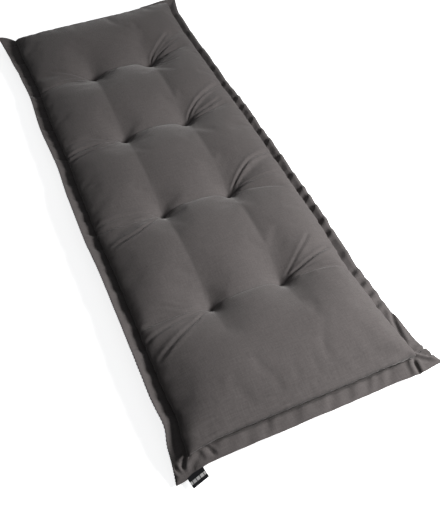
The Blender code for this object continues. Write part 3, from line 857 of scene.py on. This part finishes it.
def copy_along(pattern, name, places):
    """Copies a stitch and joins the copies. Each place is a middle, the way it runs and the way it faces."""
    copies = []
    for place, run, facing in places:
        sideways = facing.cross(run).normalized()
        run = sideways.cross(facing)
        turn = Matrix((run, sideways, facing)).transposed().to_4x4()
        copied = pattern.copy()
        copied.data = pattern.data.copy()
        copied.data.transform(Matrix.Translation(place) @ turn)
        scene.collection.objects.link(copied)
        copies.append(copied)
    bpy.data.objects.remove(pattern)
    bpy.ops.object.select_all(action="DESELECT")
    for copied in copies:
        copied.select_set(True)
    bpy.context.view_layer.objects.active = copies[0]
    bpy.ops.object.join()
    joined = bpy.context.object
    joined.name = joined.data.name = name
    return joined


line_x, line_y = SEAM_X + STITCH_OUTSIDE, SEAM_Y + STITCH_OUTSIDE
line_corners = [(-line_x, -line_y), (line_x, -line_y), (line_x, line_y), (-line_x, line_y)]
stitch_places = []
for side in (0, 1):
    for (x0, y0), (x1, y1) in zip(line_corners, line_corners[1:] + line_corners[:1]):
        count = round(math.hypot(x1 - x0, y1 - y0) / STITCH_PITCH)
        holes = [
            on_cover(x0 + (x1 - x0) * i / count, y0 + (y1 - y0) * i / count, side) for i in range(count + 1)
        ]
        for (here, facing), (there, _) in zip(holes, holes[1:]):
            middle = (here + there) / 2 + facing * THREAD_THICKNESS * STITCH_LIFT
            stitch_places.append((middle, there - here, facing))
stitching = copy_along(model_stitch("stitch", STITCH_LENGTH, THREAD_THICKNESS), "topstitching", stitch_places)
stitching.data.materials.append(thread_material)

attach(stitching, "root")

# ---- The tacks -------------------------------------------------------------------------------------------
# Each tuft is a bar tack of the same thread, sewn through the whole cushion: a dozen turns side by side,
# which hold the two panels together at the bottom of its pit.
TACK_TURNS = 12
TACK_PITCH = 0.0006  # from turn to turn
TACK_WIDTH, TACK_THICKNESS = 0.0026, THREAD_THICKNESS * 1.3
TACK_WANDER = 0.0002  # how far a turn lies to one side of its tuft
WANDER_TURN, WANDER_TUFT = 5, 40  # its phase, in radians: from turn to turn, and for each metre along X
TACK_LIFT = 0.4  # the share of the thread's thickness by which a turn lies off the cloth
TACK_RUN = Vector((1, 0.1, 0))  # the way a turn runs
TACK_UPRIGHT = 2  # more turns its face from the cloth's towards straight up, or straight down underneath

tack_places = []
for side in (0, 1):
    for tuft_x in TUFT_X:
        for tuft_y in TUFT_Y:
            for turn in range(TACK_TURNS):
                sewn_y = tuft_y + (turn - (TACK_TURNS - 1) / 2) * TACK_PITCH
                sewn_x = tuft_x + TACK_WANDER * math.sin(WANDER_TURN * turn + WANDER_TUFT * tuft_x)
                place, facing = on_cover(sewn_x, sewn_y, side)
                facing = (facing + Vector((0, 0, TACK_UPRIGHT if side else -TACK_UPRIGHT))).normalized()
                tack_places.append((place + facing * THREAD_THICKNESS * TACK_LIFT, TACK_RUN, facing))
tacks = copy_along(model_stitch("turn", TACK_WIDTH, TACK_THICKNESS), "tuft_tacks", tack_places)
tacks.data.materials.append(thread_material)

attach(tacks, "root")

# ---- The tab ---------------------------------------------------------------------------------------------
# A short length of woven satin tape, folded double and caught in the near end's edge beside the left corner.
# The fold is its outer edge, and both faces are woven with plain pale bars.
TAB_START_Y = -0.2095
TAB_WIDTH = 0.029
TAB_LENGTH = 0.0165
TAB_THICKNESS = 0.0014
TAB_HELD = 0.004  # the length that lies inside the flange's edge
BETWEEN_PANELS = 0.5  # it is caught between the underside's panel, 0, and the top's, 1
TAB_SLOPE = -0.10  # its rise for each metre outwards
TAPE_THICKNESS = 0.0005
TAB_LAYER_DROP = TAB_THICKNESS - TAPE_THICKNESS  # from the upper layer down to the lower one
TAB_CUTS, FOLD_STEPS = 5, 6
TAB_TOLERANCE = 0.00001
TAB_SHARPEST = math.radians(40)  # faces that meet at more than this keep their edge

bpy.ops.object.select_all(action="DESELECT")
bpy.ops.mesh.primitive_plane_add(size=1)
tab = bpy.context.object
tab.name = tab.data.name = "folded_tab"
bpy.ops.object.mode_set(mode="EDIT")
bpy.ops.mesh.select_all(action="SELECT")
flat_length = TAB_HELD + TAB_LENGTH - TAB_LAYER_DROP / 2
bpy.ops.transform.resize(value=(flat_length, TAB_WIDTH, 1), center_override=(0, 0, 0))
bpy.ops.transform.translate(value=(flat_length / 2 - TAB_HELD, 0, TAB_LAYER_DROP / 2))
bpy.ops.mesh.subdivide(number_cuts=TAB_CUTS)
tape = bmesh.from_edit_mesh(tab.data)
for point in tape.verts:
    point.select = point.co.x > flat_length - TAB_HELD - TAB_TOLERANCE
tape.select_flush_mode()
bmesh.update_edit_mesh(tab.data)
bpy.ops.mesh.spin(  # the fold
    steps=FOLD_STEPS, angle=math.pi, center=(flat_length - TAB_HELD, 0, 0), axis=(0, 1, 0)
)
bpy.ops.mesh.extrude_region_move(TRANSFORM_OT_translate={"value": (-flat_length, 0, 0)})
bpy.ops.mesh.select_all(action="SELECT")
bpy.ops.mesh.remove_doubles(threshold=TAB_TOLERANCE)
bpy.ops.mesh.normals_make_consistent(inside=False)
bpy.ops.object.mode_set(mode="OBJECT")
wall = tab.modifiers.new("wall", "SOLIDIFY")
wall.thickness, wall.offset = TAPE_THICKNESS, 0
apply_modifier(tab, wall.name)

# The woven pattern follows the tape, across it and along it
for layer in list(tab.data.uv_layers):
    tab.data.uv_layers.remove(layer)
map_cloth(tab.data, "on_tape", read_vectors(tab.data.vertices, "co")[:, [1, 0]])

held_left, held_right = (
    Vector(cloth_place(*np.array([[HALF_LENGTH], [y], [BETWEEN_PANELS]]))[0])
    for y in (TAB_START_Y, TAB_START_Y + TAB_WIDTH)
)
tab_across = (held_right - held_left).normalized()
tab_face = Vector((1, 0, TAB_SLOPE)).cross(tab_across).normalized()
tab_out = tab_across.cross(tab_face)
tab_turn = Matrix((tab_out, tab_across, tab_face)).transposed().to_4x4()
tab.data.transform(Matrix.Translation((held_left + held_right) / 2) @ tab_turn)
bpy.ops.object.shade_smooth_by_angle(angle=TAB_SHARPEST)

# Black polyester satin with a low gloss, and one row of plain bars woven in a pale yarn.
BAR_PITCH, BAR_GAP = 0.0068, 0.0012
BAR_ROW, BAR_HALF_HEIGHT = 0.0085, 0.0026  # the row's place along the tape, from the flange's edge
BAR_REPEAT = 1.0  # so far apart along the tape that it has one row
TAPE_PITCH = 0.00035  # of its satin's threads
TAPE_BLACK, BAR_PALE, BAR_GREY = linear("#17171a"), linear("#d0cfcd"), linear("#9d9c9d")
tape_material, tape_shader = new_material("satin_tape")
tape_shader.inputs["Roughness"].default_value = 0.5
tape_shader.inputs["Specular IOR Level"].default_value = 0.4
on_tape = add_node(tape_material, "ShaderNodeUVMap", uv_map="on_tape").outputs["UV"]
bars = add_node(
    tape_material, "ShaderNodeTexBrick", {"Vector": on_tape},
    {"Scale": 1.0, "Brick Width": BAR_PITCH, "Row Height": BAR_REPEAT, "Mortar Size": BAR_GAP / 2,
     "Mortar Smooth": 0.2, "Color1": BAR_PALE, "Color2": BAR_GREY, "Mortar": TAPE_BLACK},
)
tape_place = add_node(tape_material, "ShaderNodeSeparateXYZ", {"Vector": on_tape})
bar_row = add_node(
    tape_material, "ShaderNodeMath", {0: tape_place.outputs["Y"]}, {1: BAR_ROW, 2: BAR_HALF_HEIGHT},
    operation="COMPARE",
)
tape_colour = add_node(
    tape_material, "ShaderNodeMix", {"Factor": bar_row.outputs["Value"], "B": bars.outputs["Color"]},
    {"A": TAPE_BLACK}, data_type="RGBA",
)
tape_material.node_tree.links.new(tape_colour.outputs["Result"], tape_shader.inputs["Base Color"])
tape_weave = add_node(
    tape_material, "ShaderNodeTexWave", {"Vector": on_tape}, {"Scale": wave_scale(TAPE_PITCH)}
)
tape_bump = add_node(
    tape_material, "ShaderNodeBump", {"Height": tape_weave.outputs["Fac"]},
    {"Strength": 0.2, "Distance": 0.0001},
)
tape_material.node_tree.links.new(tape_bump.outputs["Normal"], tape_shader.inputs["Normal"])
tab.data.materials.append(tape_material)

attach(tab, "root")
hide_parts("tab")
